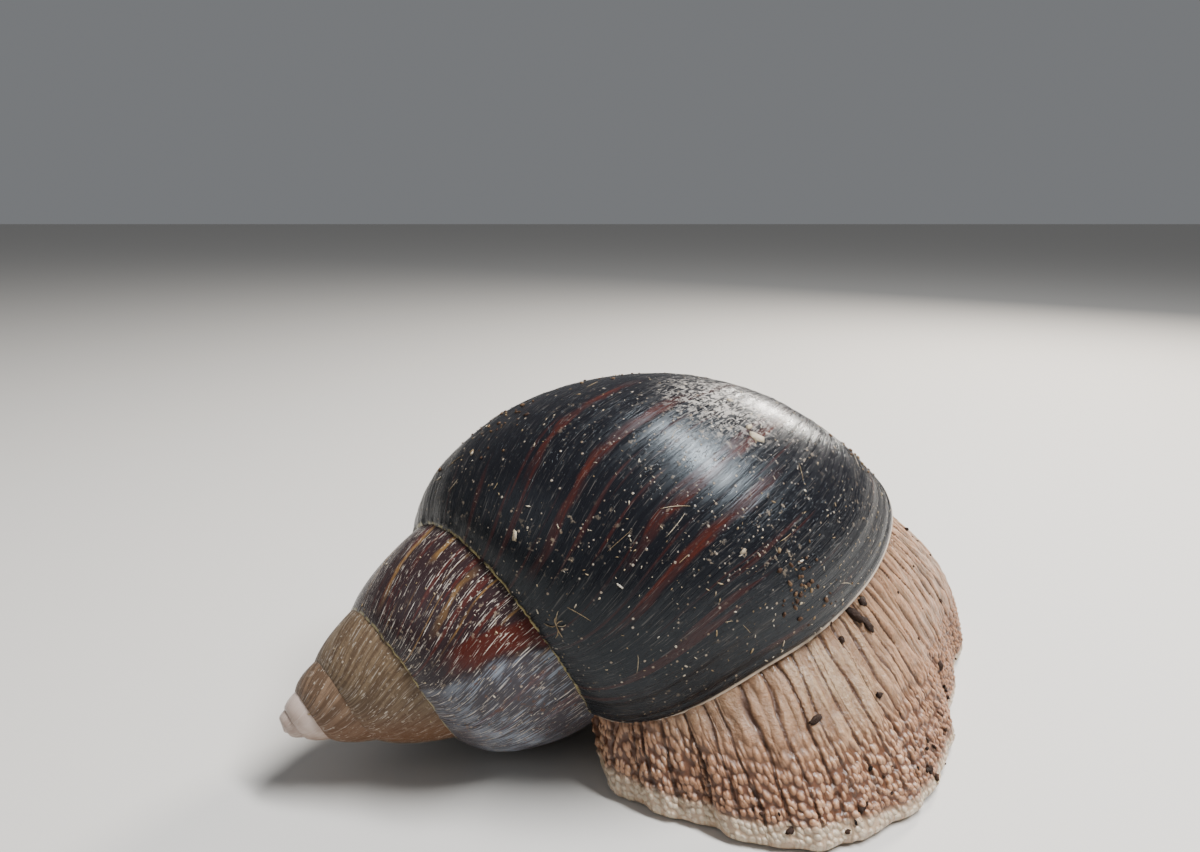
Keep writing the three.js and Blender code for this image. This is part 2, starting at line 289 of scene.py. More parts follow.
def sweep(name, turns, rows, fold=False):
    """A closed stretch of whorl: rings at the given turns, with `rows` points over the wall."""
    rings = len(turns) + (ROLL_RINGS + 2 if fold else 0)
    mesh = grid_mesh(name, rings - 1, rows + INNER_ROWS)
    spots = numbers(mesh.vertices, "co")
    ring = np.rint((spots[:, 0] + 0.5) * (rings - 1)).astype(int)
    row = np.rint((spots[:, 1] + 0.5) * (rows + INNER_ROWS)).astype(int)
    psi = SUTURE_PSI + (BASE_PSI - SUTURE_PSI) * np.clip(row / rows, 0, 1)
    turn = np.asarray(turns)[np.minimum(ring, len(turns) - 1)]
    on_wall = row <= rows
    if fold:
        end = np.where(on_wall, lip_turn(psi), LIP_BACK)
        turn = turns[0] + (turn - turns[0]) * (end - turns[0]) / (0 - turns[0])
    laid, down = growth_place(turn, psi)
    radius, height = wall(turn, psi, growth_relief(laid, down, turn) * smoothstep(-laid, 0.0, 1.5))
    radius, height = draw_in(turn, radius, height)
    if fold:
        # The edge rolls over and runs back inside the opening.
        past = ring - (len(turns) - 1)
        thick = LIP_WALL * smoothstep(SUTURE_PSI - psi, 0, 14) * smoothstep(psi - BASE_PSI, 0, 10)
        angle = np.clip(past, 0, ROLL_RINGS) / ROLL_RINGS * pi
        ahead = thick / 2 * np.sin(angle) / GIRTH
        back = np.where(past > ROLL_RINGS, np.minimum(LIP_BACK - turn, 0), 0)
        moved = turn + ahead + back
        rolled = (*wall(moved, psi, -thick / 2 * (1 - np.cos(angle))), moved, 0.5)
        radius, height, turn, laid = (
            np.where(past > 0, new, old) for new, old in zip(rolled, (radius, height, turn, laid)))
    # Round the axis the tube closes on a thin pillar.
    deep = np.clip((row - rows - 1) / (INNER_ROWS - 2), 0, 1)
    pillar_to = PILLAR_TO - PILLAR_TUCK * tucked(turn)
    pillar = grow(LENGTHEN, turn) * (pillar_to + (PILLAR_FROM - pillar_to) * deep)
    thin = 0.5 * grow(WIDEN, turn)
    first = wall(turn, np.full(len(turn), SUTURE_PSI))
    last_row = row == rows + INNER_ROWS
    radius = np.where(on_wall, radius, np.where(last_row, first[0], thin))
    height = np.where(on_wall, height, np.where(last_row, first[1], pillar))
    # The first turn of all begins as a rounded end.
    begun = np.clip((FIRST_TURN + ROUNDED_TURNS - turn) / ROUNDED_TURNS, 0, 1)
    begun = np.sqrt(1 - begun**2)
    middle = [part * grow(rate, turn) for part, rate in TUBE_MIDDLE]
    radius = middle[0] + (radius - middle[0]) * begun
    height = middle[1] + (height - middle[1]) * begun
    place = on_spiral(turn, radius, height)
    place[:, 2] = np.maximum(place[:, 2], FLOOR_GAP)
    mesh.vertices.foreach_set("co", (place * MM).ravel())
    mark(mesh, "growth", np.stack([laid, down, turn], 1))
    shape = bmesh.new()
    shape.from_mesh(mesh)
    bmesh.ops.remove_doubles(shape, verts=shape.verts, dist=2e-6)
    close_up(shape)
    for face in shape.faces:
        face.smooth = len(face.verts) < 5
    shape.to_mesh(mesh)
    shape.free()
    piece = add_object(name, mesh)
    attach(piece, "root")
    return piece


def even_turns(start, end, step):
    """Turns whose rings lie `step` millimetres apart on the widest line of the whorl."""
    low, high = (np.interp(t, turn_table, laid_table) for t in (start, end))
    count = int((high - low) / step) + 1
    return np.interp(np.linspace(low, high, count), laid_table, turn_table)


body_whorl = sweep("shell_body", even_turns(-1, 0, 0.42), 150, fold=True)
spire = sweep("shell_spire", even_turns(FIRST_TURN, -1, 0.36), 110)
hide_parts("shell_body_whorl", "shell_lip")
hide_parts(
    "shell_penultimate_whorl", "shell_third_whorl", "shell_fourth_whorl", "shell_apex"
)


class Nodes:
    """Adds nodes to a shader or geometry tree and links their inputs."""

    def __init__(self, tree):
        self.tree = tree

    def fill(self, node, values):
        """Links each socket, or sets the number or colour on it."""
        for key, value in values.items():
            if isinstance(value, bpy.types.NodeSocket):
                self.tree.links.new(value, node.inputs[key])
            else:
                node.inputs[key].default_value = value

    def add(self, kind, inputs=None, **settings):
        made = self.tree.nodes.new(kind)
        for key, value in settings.items():
            setattr(made, key, value)
        self.fill(made, inputs or {})
        return made

    def math(self, operation, a, b=0.0):
        return self.add("ShaderNodeMath", {0: a, 1: b}, operation=operation).outputs[0]

    def sum(self, *values):
        return reduce(partial(self.math, "ADD"), values)

    def times(self, *values):
        return reduce(partial(self.math, "MULTIPLY"), values)

    def less(self, a, b):
        return self.math("SUBTRACT", a, b)

    def span(self, value, low, high, to_low=0.0, to_high=1.0):
        """Maps low..high to the new range, held at both ends and eased between them."""
        inputs = dict(enumerate((value, low, high, to_low, to_high)))
        made = self.add("ShaderNodeMapRange", inputs, interpolation_type="SMOOTHSTEP")
        return made.outputs[0]

    def mix(self, share, a, b):
        a, b = ((*ink, 1) if isinstance(ink, tuple) else ink for ink in (a, b))
        return self.add("ShaderNodeMix", {0: share, 6: a, 7: b}, data_type="RGBA").outputs[2]

    def paint(self, color, *layers):
        """Lays each ink over the colour by its share, the last one on top."""
        for share, ink in layers:
            color = self.mix(share, color, ink)
        return color

    def spot(self, x, y, z=0.0):
        return self.add("ShaderNodeCombineXYZ", {0: x, 1: y, 2: z}).outputs[0]

    def split(self, vector):
        return self.add("ShaderNodeSeparateXYZ", {0: vector}).outputs[:3]

    def mark(self, name):
        return self.add("ShaderNodeAttribute", attribute_name=name).outputs["Vector"]

    def noise(self, vector, scale=1.0, detail=3.0, rough=0.6):
        return self.add("ShaderNodeTexNoise", {
            "Vector": vector, "Scale": scale, "Detail": detail, "Roughness": rough}).outputs[0]

    def cells(self, at, scale, loose, size="3D", feature="F1"):
        """Cells round loosely placed points, as the outputs of the node."""
        inputs = {"W" if size == "1D" else "Vector": at, "Scale": scale, "Randomness": loose}
        made = self.add("ShaderNodeTexVoronoi", inputs, voronoi_dimensions=size, feature=feature)
        return made.outputs

    def streaks(self, along, across, fine, long, detail=3.0, seed=0.0):
        """Noise drawn out along the growth lines: `fine` and `long` are its grain in mm."""
        spot = self.spot(self.times(along, 1 / fine), self.times(across, 1 / long), seed)
        return self.noise(spot, 1.0, detail, 0.55)

    def ball(self, place, middle, radius, soft):
        """1 inside a ball of the object, 0 outside, all in metres."""
        far = self.add("ShaderNodeVectorMath", {0: place, 1: middle}, operation="DISTANCE")
        return self.span(far.outputs["Value"], radius + soft, radius - soft)

    def ramp(self, value, stops):
        made = self.add("ShaderNodeValToRGB", {0: value})
        band = made.color_ramp
        while len(band.elements) < len(stops):
            band.elements.new(0.5)
        for element, (at, color) in zip(band.elements, stops):
            element.position = at
            element.color = (*color, 1)
        return made.outputs[0]

    def bump(self, strength, distance, height):
        inputs = {"Strength": strength, "Distance": distance, "Height": height}
        return self.add("ShaderNodeBump", inputs).outputs[0]


def new_material(name):
    """A material, its node tree, its shader, and the place on the object as a socket."""
    material = bpy.data.materials.new(name)
    material.use_nodes = True
    n = Nodes(material.node_tree)
    place = n.add("ShaderNodeTexCoord").outputs["Object"]
    return material, n, material.node_tree.nodes["Principled BSDF"], place


lime, n, surface, place = new_material("grown shell")
laid, down, turn = n.split(n.mark("growth"))
cloud = n.noise(place, 70.0, 4, 0.6)
speckle = n.noise(place, 900.0)
stria = n.streaks(laid, down, 0.7, 9.0, 4)
thread = n.streaks(laid, down, 0.24, 4.0, 3, 3.0)
dash = n.streaks(laid, down, 0.30, 1.4, 2, 7.0)
scratch = n.streaks(laid, down, 0.20, 5.0, 2, 8.3)
streak = n.streaks(laid, down, 1.9, 46.0, 2, 1.3)
band = n.streaks(laid, down, 1.2, 30.0, 3, 5.1)
wobble = n.times(n.less(n.streaks(laid, down, 2.0, 7.0, 3, 2.2), 0.5), 3.0)


def stripe(at, half, start, end, soft=5.0):
    """1 on one growth line, `at` mm before the lip, from `start` to `end` mm below the suture."""
    off = n.math("ABSOLUTE", n.less(n.sum(laid, wobble), at))
    reach = n.times(n.span(down, start - soft, start + soft), n.span(down, end + soft, end - soft))
    return n.times(n.span(off, half, half * 0.3), reach)


def dots(scale, rim, core, skipped):
    """Round specks, one in each cell that isn't skipped, and a number for each cell's tone."""
    cell = n.cells(place, scale, 1.0)
    pick = n.split(cell["Color"])
    round_dot = n.span(cell["Distance"], rim, core)
    return n.times(round_dot, n.math("GREATER_THAN", pick[0], skipped)), pick[1]


# Older turns are paler: pearl at the tip, then tan, khaki, purple-brown and near black.
age = n.sum(turn, n.times(n.less(cloud, 0.5), 0.25))
ground = n.ramp(n.times(n.sum(age, 6.0), 1 / 6), [
    (0.0, (0.72, 0.60, 0.54)),
    (0.33, (0.62, 0.49, 0.42)),
    (0.37, (0.23, 0.145, 0.092)),
    (0.50, (0.20, 0.125, 0.076)),
    (0.55, (0.19, 0.128, 0.076)),
    (0.665, (0.165, 0.112, 0.064)),
    (0.70, (0.034, 0.018, 0.018)),
    (0.83, (0.026, 0.014, 0.015)),
    (0.875, (0.008, 0.007, 0.009)),
    (1.0, (0.006, 0.006, 0.008)),
])
after_khaki = n.span(turn, -1.95, -1.8)
body_part = n.span(turn, -0.95, -0.75)
second_part = n.times(after_khaki, n.less(1.0, body_part))
early_part = n.less(1.0, after_khaki)
tip_part = n.span(turn, -3.75, -4.0)
off_tip = n.less(1.0, tip_part)
clump = n.span(n.noise(place, 190.0), 0.42, 0.62)

# Khaki turns: brown growth lines, and browner again on the side that rubs the ground.
brown_lines = n.times(early_part, n.span(stria, 0.40, 0.58, 0.0, 0.75), off_tip)
low = n.span(n.split(place)[2], 0.020, 0.010)
rubbed = n.times(low, early_part, n.span(cloud, 0.32, 0.55), 0.85)
# Dark red lines on the last whorl, the strongest four on its last quarter turn.
faint_red = n.times(n.span(streak, 0.60, 0.68), body_part, 0.45)
red = n.sum(
    stripe(-57.0, 1.1, 18, 42), stripe(-47.6, 1.2, 8, 46), stripe(-33.6, 1.3, 22, 64),
    stripe(-26.8, 1.3, 16, 48))
red = n.times(n.math("MINIMUM", red, 1.0), n.span(stria, 0.25, 0.6, 1.0, 0.35))
# The whorl before it: ochre and red-brown lines, one wide dark red one, then a worn stretch.
red_brown = n.times(n.span(band, 0.44, 0.37), second_part, 0.6)
ochre = n.sum(
    n.times(n.span(band, 0.60, 0.68), n.span(cloud, 0.4, 0.6)),
    stripe(-228.0, 1.0, 6, 30), stripe(-214.0, 0.9, 11, 17), stripe(-236.0, 0.8, 6, 30))
ochre = n.times(n.math("MINIMUM", ochre, 1.0), second_part, 0.75)
slant = n.sum(laid, n.times(down, -0.5), wobble)
wide_red = n.span(n.math("ABSOLUTE", n.sum(slant, 211.6)), 2.6, 1.5)
wide_red = n.times(wide_red, n.span(down, 6.0, 11.0), second_part, 0.9)
worn = n.times(
    n.span(slant, -209.3, -207.8), n.span(laid, -165.0, -176.0), n.span(down, 2.0, 11.0, 0.35, 1.0))
worn_line = n.span(n.sum(thread, n.times(cloud, 0.7)), 0.80, 0.98)
worn_blue = n.times(worn, n.sum(n.times(worn_line, 0.8), 0.10))
worn_brown = n.times(worn, n.span(speckle, 0.58, 0.68), 0.6)


def by_part(second, early, body):
    """A different share for each stretch of the shell."""
    return n.sum(n.times(second_part, second), n.times(early_part, early), n.times(body_part, body))


# Whitish dashes where the thin brown skin of the shell has flaked, and one grazed spot.
dash_high = n.span(dash, 0.60, 0.68)
flaked = n.times(dash_high, by_part(0.9, 0.95, 0.04), n.span(clump, 0.0, 1.0, 0.3, 1.0))
scratched = n.times(n.span(scratch, 0.64, 0.69), by_part(0.9, 0.4, 0.1))
scraped = n.math("MAXIMUM", n.span(speckle, 0.52, 0.60), n.span(dash, 0.52, 0.60))
grazed = n.ball(place, (0.0055, -0.0290, 0.0630), 0.008, 0.006)
grazed = n.times(grazed, body_part, scraped, 0.8)
# Fine dust, and pin-point specks on every turn but the oldest.
dust = n.times(n.span(speckle, 0.60, 0.70), n.span(cloud, 0.46, 0.66))
speck, tone = dots(620.0, 0.17, 0.09, 0.62)
tiny, _ = dots(1250.0, 0.24, 0.10, 0.72)
speck = n.math("MAXIMUM", speck, n.times(tiny, n.span(cloud, 0.38, 0.58)))
# The suture's yellowish edge, and the bare lip.
suture = n.times(
    n.span(down, 0.75, 0.25), n.span(down, -3.0, -1.0),
    n.span(n.noise(place, 500.0), 0.38, 0.55), n.span(turn, -1.6, -1.2), 0.9)
bare = n.times(n.span(laid, -0.8, -0.2), n.span(cloud, 0.25, 0.5))

color = n.paint(
    ground,
    (brown_lines, (0.070, 0.038, 0.020)),
    (rubbed, (0.13, 0.056, 0.022)),
    (faint_red, (0.055, 0.012, 0.008)),
    (red, (0.062, 0.014, 0.009)),
    (red_brown, (0.085, 0.018, 0.012)),
    (ochre, (0.23, 0.125, 0.042)),
    (wide_red, (0.066, 0.012, 0.007)),
    (worn_blue, (0.24, 0.27, 0.32)),
    (worn_brown, (0.12, 0.045, 0.02)),
    (flaked, (0.52, 0.45, 0.37)),
    (scratched, (0.60, 0.54, 0.47)),
    (grazed, (0.46, 0.42, 0.38)),
    (n.times(dust, 0.6), (0.30, 0.23, 0.16)),
    (n.times(speck, n.span(turn, -3.9, -3.5), 0.8),
     n.mix(tone, (0.50, 0.42, 0.33), (0.20, 0.14, 0.09))),
    (suture, (0.36, 0.30, 0.14)),
    (bare, (0.60, 0.50, 0.40)),
)
relief = n.sum(
    n.times(stria, 0.5), n.times(thread, 0.55), n.times(dash_high, 0.3), n.times(dust, 0.3),
    n.times(early_part, n.noise(place, 700.0), 1.4), n.times(early_part, stria, 0.8),
    n.times(speck, 0.5))
calm = n.span(tip_part, 0.0, 1.0, 1.0, 0.25)
n.fill(surface, {
    "Base Color": color,
    "Roughness": n.sum(
        n.span(stria, 0.25, 0.8, 0.20, 0.38), n.times(early_part, 0.28), n.times(dust, 0.3),
        n.times(worn, 0.2), n.times(tip_part, -0.25)),
    "Normal": n.bump(0.75, 0.00018, n.times(relief, calm)),
    "Specular IOR Level": 0.26,
    "Specular Tint": (0.80, 0.92, 1.0, 1),
    "Coat Weight": 0.05,
    "Coat Roughness": 0.15,
})
for piece in (body_whorl, spire):
    piece.data.materials.append(lime)

# ---- flesh
# All the flesh is one skin over muscle: the broad foot with its thin pale edge, the collar of
# mantle inside the lip, the neck and the head with its feelers. The forms are joined into one
# closed body, and the wrinkles are then raised on it along the lie of each form.
CENTRE = np.array([4.833, -2.107, 0.0])
SOLE = [
    (-20, -43), (-13.5, -50), (-3.5, -56), (9, -61), (20, -58.5), (35, -48), (45, -30),
    (54, -9), (62, 11), (63, 24), (57, 37), (49, 48), (41, 57), (33, 59.5), (25, 56),
    (19, 45), (12, 31), (3, 17), (-6, 1), (-12, -17), (-17, -31),
]
LIP_SPANS = 9
MARGIN_RISE = 1.7
SOLE_INSET = 2.6
COLLAR_WIDTH = 2.4
GAP = 0.3
FOOT_MIDDLE = np.array([12.0, -6.0, 0.0])
FOOT_TOP = np.array([12.0, -6.0, 36.0])
# The foot's grid from the middle of the sole: where the sole, its edge, the margin and the flank end.
SOLE_END, EDGE_END, MARGIN_END, FLANK_END = 0.1, 0.13, 0.16, 0.84
LINING = 1.3
SKIN_STEP = 0.465
SMOOTH_ROUNDS, EASE_ROUNDS = 4, 60


def closed_spline(points, steps=24):
    """A loop through the points, with even knots by the root of their distance."""
    spots = np.array(points, float)
    loop = []
    for i in range(len(spots)):
        p = [spots[(i + k) % len(spots)] for k in (-1, 0, 1, 2)]
        knots = np.cumsum([0.0] + [np.linalg.norm(b - a) ** 0.5 for a, b in zip(p, p[1:])])
        for t in np.linspace(knots[1], knots[2], steps, endpoint=False):
            level = p
            for wide in (1, 2):
                level = [
                    (a * (knots[k + wide] - t) + b * (t - knots[k])) / (knots[k + wide] - knots[k])
                    for k, (a, b) in enumerate(zip(level, level[1:]))
                ]
            a, b = level
            loop.append((a * (knots[2] - t) + b * (t - knots[1])) / (knots[2] - knots[1]))
    return np.array(loop)


sole_line = closed_spline(SOLE)
sole_ring = np.vstack([sole_line, sole_line[:2]])
sole_along = np.concatenate([[0], np.cumsum(np.linalg.norm(np.diff(sole_ring, axis=0), axis=1))])
SOLE_LENGTH = sole_along[len(sole_line)]


def sole_point(s, inset, z):
    """A point on the sole's outline: s runs 0 to 0.5 under the lip and on round the far side."""
    share = LIP_SPANS / len(SOLE)
    t = np.where(s <= 0.5, 2 * s * share, share + (2 * s - 1) * (1 - share)) % 1
    at = t * len(sole_line)
    steps = np.arange(len(sole_ring))
    here = np.stack([np.interp(at, steps, sole_ring[:, k]) for k in (0, 1)])
    ahead = np.stack([np.interp(at + 0.6, steps, sole_ring[:, k]) for k in (0, 1)])
    run = (ahead - here) / np.hypot(*(ahead - here))
    spot = np.stack([here[0] - run[1] * inset, here[1] + run[0] * inset, z + 0 * s], 1)
    return spot, np.interp(at, steps, sole_along)


def opening_point(s):
    """Inside the shell's opening: along the lip, then back beside the axis."""
    psi = 92 - 178 * np.clip(s / 0.5, 0, 1)
    at = 0.6 * lip_turn(psi) - 0.004
    under = on_spiral(at, *wall(at, psi, -LINING - 2 * GAP - COLLAR_WIDTH - 0.5))
    w = np.clip((s - 0.5) / 0.5, 0, 1)
    back = on_spiral(np.full_like(s, -0.004), 9 - 4 * np.sin(pi * w), 120 - 62 * w)
    return np.where((s <= 0.5)[:, None], under, back) - CENTRE


def form_mesh(name, columns, rows, form):
    """A closed form from a grid: u runs round it and v along it from pole to pole."""
    mesh = grid_mesh(name, columns, rows)
    spots = numbers(mesh.vertices, "co") + 0.5
    u = np.round(spots[:, 0] * columns) / columns
    v = np.round(spots[:, 1] * rows) / rows
    place, marks = form(u, v)
    mesh.vertices.foreach_set("co", (place * MM).ravel())
    mark(mesh, "lie", marks)
    return mesh


def passed(v, low, high):
    """How far v has come from low to high, held at both ends, as a column."""
    return np.clip((v - low) / (high - low), 0, 1)[:, None]


def foot_form(u, v):
    """v runs from the middle of the sole out to the edge, up the flank and into the opening."""
    s = u % 1
    wave = np.array([noise.noise(Vector((cos(tau * a), sin(tau * a), 0.03)) * 8) for a in s])
    ripple = np.array([noise.noise(Vector((cos(tau * a), sin(tau * a), 0.2)) * 26) for a in s])
    out = 1.5 * wave + 0.6 * ripple
    bottom, arc = sole_point(s, SOLE_INSET - 0.6 * out, 0.0)
    margin, _ = sole_point(s, -0.2 - out, MARGIN_RISE - 0.3 + 1.1 * np.abs(wave) + 0.3 * ripple)
    lower, _ = sole_point(s, 0.5 - out, 0.25)
    top = opening_point(s)
    k = passed(v, MARGIN_END, FLANK_END)[:, 0]
    bulge = 0.07 + 0.1 * smoothstep(s, 0.3, 0.42) * (s < 0.6)
    share = k - bulge * np.sin(pi * k)
    flank = margin + (top - margin) * np.stack([share, share, k], 1)
    under = FOOT_MIDDLE + (bottom - FOOT_MIDDLE) * passed(v, 0, SOLE_END)
    edge = bottom + (lower - bottom) * passed(v, SOLE_END, EDGE_END)
    roll = lower + (margin - lower) * passed(v, EDGE_END, MARGIN_END)
    inner = top + (FOOT_TOP - top) * passed(v, FLANK_END, 1)
    stage = [(v <= end)[:, None] for end in (SOLE_END, EDGE_END, MARGIN_END, FLANK_END)]
    place = np.select(stage, [under, edge, roll, flank], inner)
    run = np.linalg.norm(top - margin, axis=1) * k
    run = np.where(v < MARGIN_END, -50 * (MARGIN_END - v), run)
    arc = np.where(s > 0.86, arc - SOLE_LENGTH, arc)
    return place + CENTRE, np.stack([arc, run, np.zeros_like(arc)], 1)


NECK = np.array([
    (22, 6, 17, 17, 13.5), (27, 23, 15, 15, 12), (29.5, 38, 13.6, 12.8, 11),
    (30.5, 49, 12.8, 11.8, 10.6), (31, 56, 11.8, 10, 9.2), (31, 60, 10.8, 7, 6.6),
    (31, 62, 10.2, 3.4, 3.2), (31, 62.6, 10.1, 0.0, 0.0),
])
HEAD_X = 31


def neck_form(u, v):
    """Level oval rings from inside the foot to the snout."""
    knots = np.concatenate([[0], np.cumsum(np.linalg.norm(np.diff(NECK[:, :3], axis=0), axis=1))])
    at = np.clip((v - 0.06) / 0.94, 0, 1) * knots[-1]
    i = np.clip(np.searchsorted(knots, at, side="right") - 1, 0, len(NECK) - 2)
    slope = np.gradient(NECK, knots, axis=0)
    span = (knots[i + 1] - knots[i])[:, None]
    x = (at - knots[i])[:, None] / span
    stop = (2 * x**3 - 3 * x**2 + 1) * NECK[i] + (3 * x**2 - 2 * x**3) * NECK[i + 1]
    stop += span * ((x**3 - 2 * x**2 + x) * slope[i] + (x**3 - x**2) * slope[i + 1])
    lead = slope[i, :2] * (1 - x) + slope[i + 1, :2] * x
    lead /= np.linalg.norm(lead, axis=1)[:, None]
    close = np.clip(v / 0.06, 0, 1)
    angle = tau * (u % 1)
    across = stop[:, 3].clip(0) * close * np.cos(angle)
    up = stop[:, 4].clip(0) * close * np.sin(angle)
    place = np.stack([
        stop[:, 0] + lead[:, 1] * across, stop[:, 1] - lead[:, 0] * across, stop[:, 2] + up], 1)
    lie = np.stack([(angle - pi / 2) * 11, knots[-1] - at + 1.0, np.ones_like(at)], 1)
    return place + CENTRE, lie


def feeler_form(base, lean, length, profile):
    """A round stalk: the profile gives shares of its length and the radius there."""
    base, lean = np.array(base, float), np.array(lean, float)
    lean /= np.linalg.norm(lean)
    side = np.cross(lean, (0, 0, 1))
    side /= np.linalg.norm(side)
    up = np.cross(side, lean)
    stops = np.array(profile)

    def form(u, v):
        along = np.interp(v, np.linspace(0, 1, len(stops)), stops[:, 0]) * length
        radius = np.interp(v, np.linspace(0, 1, len(stops)), stops[:, 1])
        angle = tau * (u % 1)
        place = base + np.multiply.outer(along, lean)
        place += np.multiply.outer(radius * np.cos(angle), side)
        place += np.multiply.outer(radius * np.sin(angle), up)
        return place + CENTRE, np.stack([angle * 1.6, along, np.full_like(along, 2.0)], 1)

    return form


def collar_form(u, v):
    """A soft roll that lines the inside of the lip, from the suture round to the base."""
    psi = 84 - 170 * v
    angle = tau * (u % 1)
    fat = smoothstep(v, 0, 0.04) * smoothstep(1 - v, 0, 0.04)
    depth = LINING + GAP + COLLAR_WIDTH / 2 * (1 - np.cos(angle) * fat)
    turn = lip_turn(psi) + (3.0 * np.sin(angle) * fat - 3.0) / GIRTH
    place = on_spiral(turn, *wall(turn, psi, -depth))
    return place, np.stack([v * 100, 30 + angle, np.full_like(v, 3.0)], 1)


UPPER_PROFILE = [
    (-0.25, 0.0), (-0.24, 3.2), (-0.1, 2.9), (0.0, 2.6), (0.15, 2.15), (0.3, 1.8), (0.45, 1.5),
    (0.6, 1.35), (0.75, 1.35), (0.86, 1.55), (0.93, 1.85), (1.0, 1.75), (1.05, 1.1), (1.07, 0.0),
]
LOWER_PROFILE = [
    (-0.3, 0.0), (-0.28, 2.0), (0.0, 1.7), (0.3, 1.35), (0.6, 1.0), (0.82, 1.05), (0.95, 1.2),
    (1.05, 0.8), (1.1, 0.0),
]
PALP_PROFILE = [(-1, 0.0), (-0.7, 1.7), (0, 2.5), (0.7, 1.7), (1, 0.0)]
UPPER_BASE, UPPER_LENGTH = (5, 51, 21), 17


def upper_lean(side):
    return (0.34 * side - 0.1, 0.56, 0.66)


def at_side(base, side):
    return (HEAD_X + base[0] * side, *base[1:])


forms = [
    form_mesh("foot form", 420, 120, foot_form),
    form_mesh("neck form", 96, 90, neck_form),
    form_mesh("collar form", 24, 200, collar_form),
]
for side in (-1, 1):
    for name, columns, rows, base, lean, length, profile in (
        ("upper form", 28, 52, UPPER_BASE, upper_lean(side), UPPER_LENGTH, UPPER_PROFILE),
        ("lower form", 22, 32, (5.2, 58.6, 8.6), (0.4 * side, 0.9, 0.05), 6.5, LOWER_PROFILE),
        ("palp form", 22, 20, (3.6, 60.6, 4.6), (0.1 * side, 1, 0), 3.4, PALP_PROFILE),
    ):
        stalk = feeler_form(at_side(base, side), lean, length, profile)
        forms.append(form_mesh(name, columns, rows, stalk))

shape = bmesh.new()
for form in forms:
    shape.from_mesh(form)
bmesh.ops.remove_doubles(shape, verts=shape.verts, dist=1e-6)
bmesh.ops.recalc_face_normals(shape, faces=shape.faces)
bmesh.ops.triangulate(shape, faces=shape.faces)
source = mesh_of(shape, "flesh forms")
skin = add_object("skin", source)


def settle(piece):
    """Applies the piece's modifiers."""
    made = bpy.data.meshes.new_from_object(
        piece.evaluated_get(bpy.context.evaluated_depsgraph_get()))
    piece.modifiers.clear()
    piece.data = made
    return made


one_body = skin.modifiers.new("one body", "REMESH")
one_body.mode = "VOXEL"
one_body.voxel_size = SKIN_STEP * MM
body = settle(skin)
shape = bmesh.new()
shape.from_mesh(body)
for _ in range(SMOOTH_ROUNDS):
    bmesh.ops.smooth_vert(
        shape, verts=shape.verts, factor=0.5, use_axis_x=True, use_axis_y=True, use_axis_z=True)
shape.to_mesh(body)
shape.free()

# Each point of the skin takes its lie, along and across the form, from the nearest form.
corners = numbers(source.polygons, "vertices", 3, int)
marks = numbers(source.attributes["lie"].data, "vector")
form_spots = numbers(source.vertices, "co")
tree = BVHTree.FromPolygons(form_spots.tolist(), corners.tolist())
spots = numbers(body.vertices, "co")
found = [tree.find_nearest(spot) for spot in spots]
nearest = np.array([f[0] for f in found])
tri = corners[[f[2] for f in found]]
a, b, c = (form_spots[tri[:, k]] for k in range(3))
to_b, to_c, to_point = b - a, c - a, nearest - a
bb, bc, cc = (to_b * to_b).sum(1), (to_b * to_c).sum(1), (to_c * to_c).sum(1)
pb, pc = (to_point * to_b).sum(1), (to_point * to_c).sum(1)
area = np.maximum(bb * cc - bc * bc, 1e-24)
share_b = np.clip((cc * pb - bc * pc) / area, 0, 1)
share_c = np.clip((bb * pc - bc * pb) / area, 0, 1)
shares = np.stack([1 - share_b - share_c, share_b, share_c], 1)
lie = sum(marks[tri[:, k]] * shares[:, k : k + 1] for k in range(3))

# How far each point belongs to the head, the stalks and the collar, eased over the joins.
ends = numbers(body.edges, "vertices", 2, int)
joined = np.bincount(ends.ravel(), minlength=len(spots))
share = [(np.rint(lie[:, 2]) == kind).astype(float) for kind in (1, 2, 3)]
for _ in range(EASE_ROUNDS):
    share = [
        (part + (np.bincount(ends[:, 0], part[ends[:, 1]], len(spots))
                 + np.bincount(ends[:, 1], part[ends[:, 0]], len(spots))) / joined) / 2
        for part in share
    ]
for name, values in (("lie", lie), ("part", np.stack(share, 1)), ("rest", spots / MM)):
    mark(body, name, values)

# Points on the sole and inside the shell need few faces.
shell_tree = BVHTree.FromObject(body_whorl, bpy.context.evaluated_depsgraph_get())
hidden = spots[:, 2] < 0.25 * MM
for i in np.nonzero(spots[:, 2] > 8 * MM)[0]:
    at, normal, _, far = shell_tree.find_nearest(spots[i], 9 * MM)
    if at is not None and far > 1.2 * MM and (Vector(spots[i]) - at).dot(normal) < 0:
        hidden[i] = True
group = skin.vertex_groups.new(name="hidden")
group.add(np.nonzero(hidden)[0].tolist(), 1.0, "REPLACE")
thin = skin.modifiers.new("fewer faces out of sight", "DECIMATE")
thin.ratio = 0.4
thin.vertex_group = "hidden"
thin.vertex_group_factor = 1000
body = settle(skin)


def blend(n, share, a, b):
    return n.sum(a, n.times(share, n.less(b, a)))


def shrunk(n, length, first, scale):
    """A length in millimetres as a count of cells that grow along it."""
    log = n.math("LOGARITHM", n.sum(n.times(length, 1 / first), 1.0), 2.71828)
    return n.times(log, scale)


